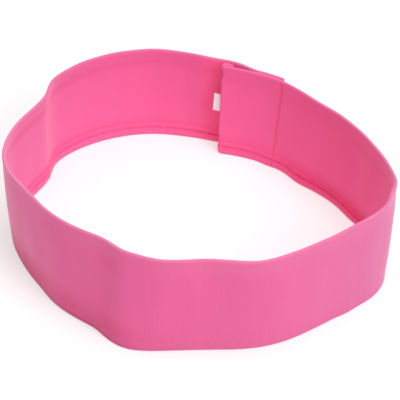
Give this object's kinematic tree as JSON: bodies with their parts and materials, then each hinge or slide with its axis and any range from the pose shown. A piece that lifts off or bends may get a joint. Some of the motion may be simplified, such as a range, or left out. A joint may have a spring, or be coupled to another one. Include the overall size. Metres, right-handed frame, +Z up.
{
  "type": "breast compression band",
  "caption": "Elastic knit compression band for the chest, a hemmed strip closed into an upright loop by a hook patch where its ends overlap.",
  "frame": {"origin": "middle of the standing loop's outline, on the floor that its lower edge rests on", "axes": "+X to the right along the loop's longer side, +Y from the front of the loop to its closure, +Z up"},
  "size_m": [0.298, 0.2728, 0.085],
  "materials": {
    "elastic_knit": "matte ribbed elastic knit, pink",
    "hook_tape": "woven tape with small hooks, pink",
    "label_ribbon": "white satin ribbon, unprinted"
  },
  "bodies": {
    "root": {"band": "elastic_knit", "hook_patch": "hook_tape", "care_label": "label_ribbon"}
  },
  "joints": []
}
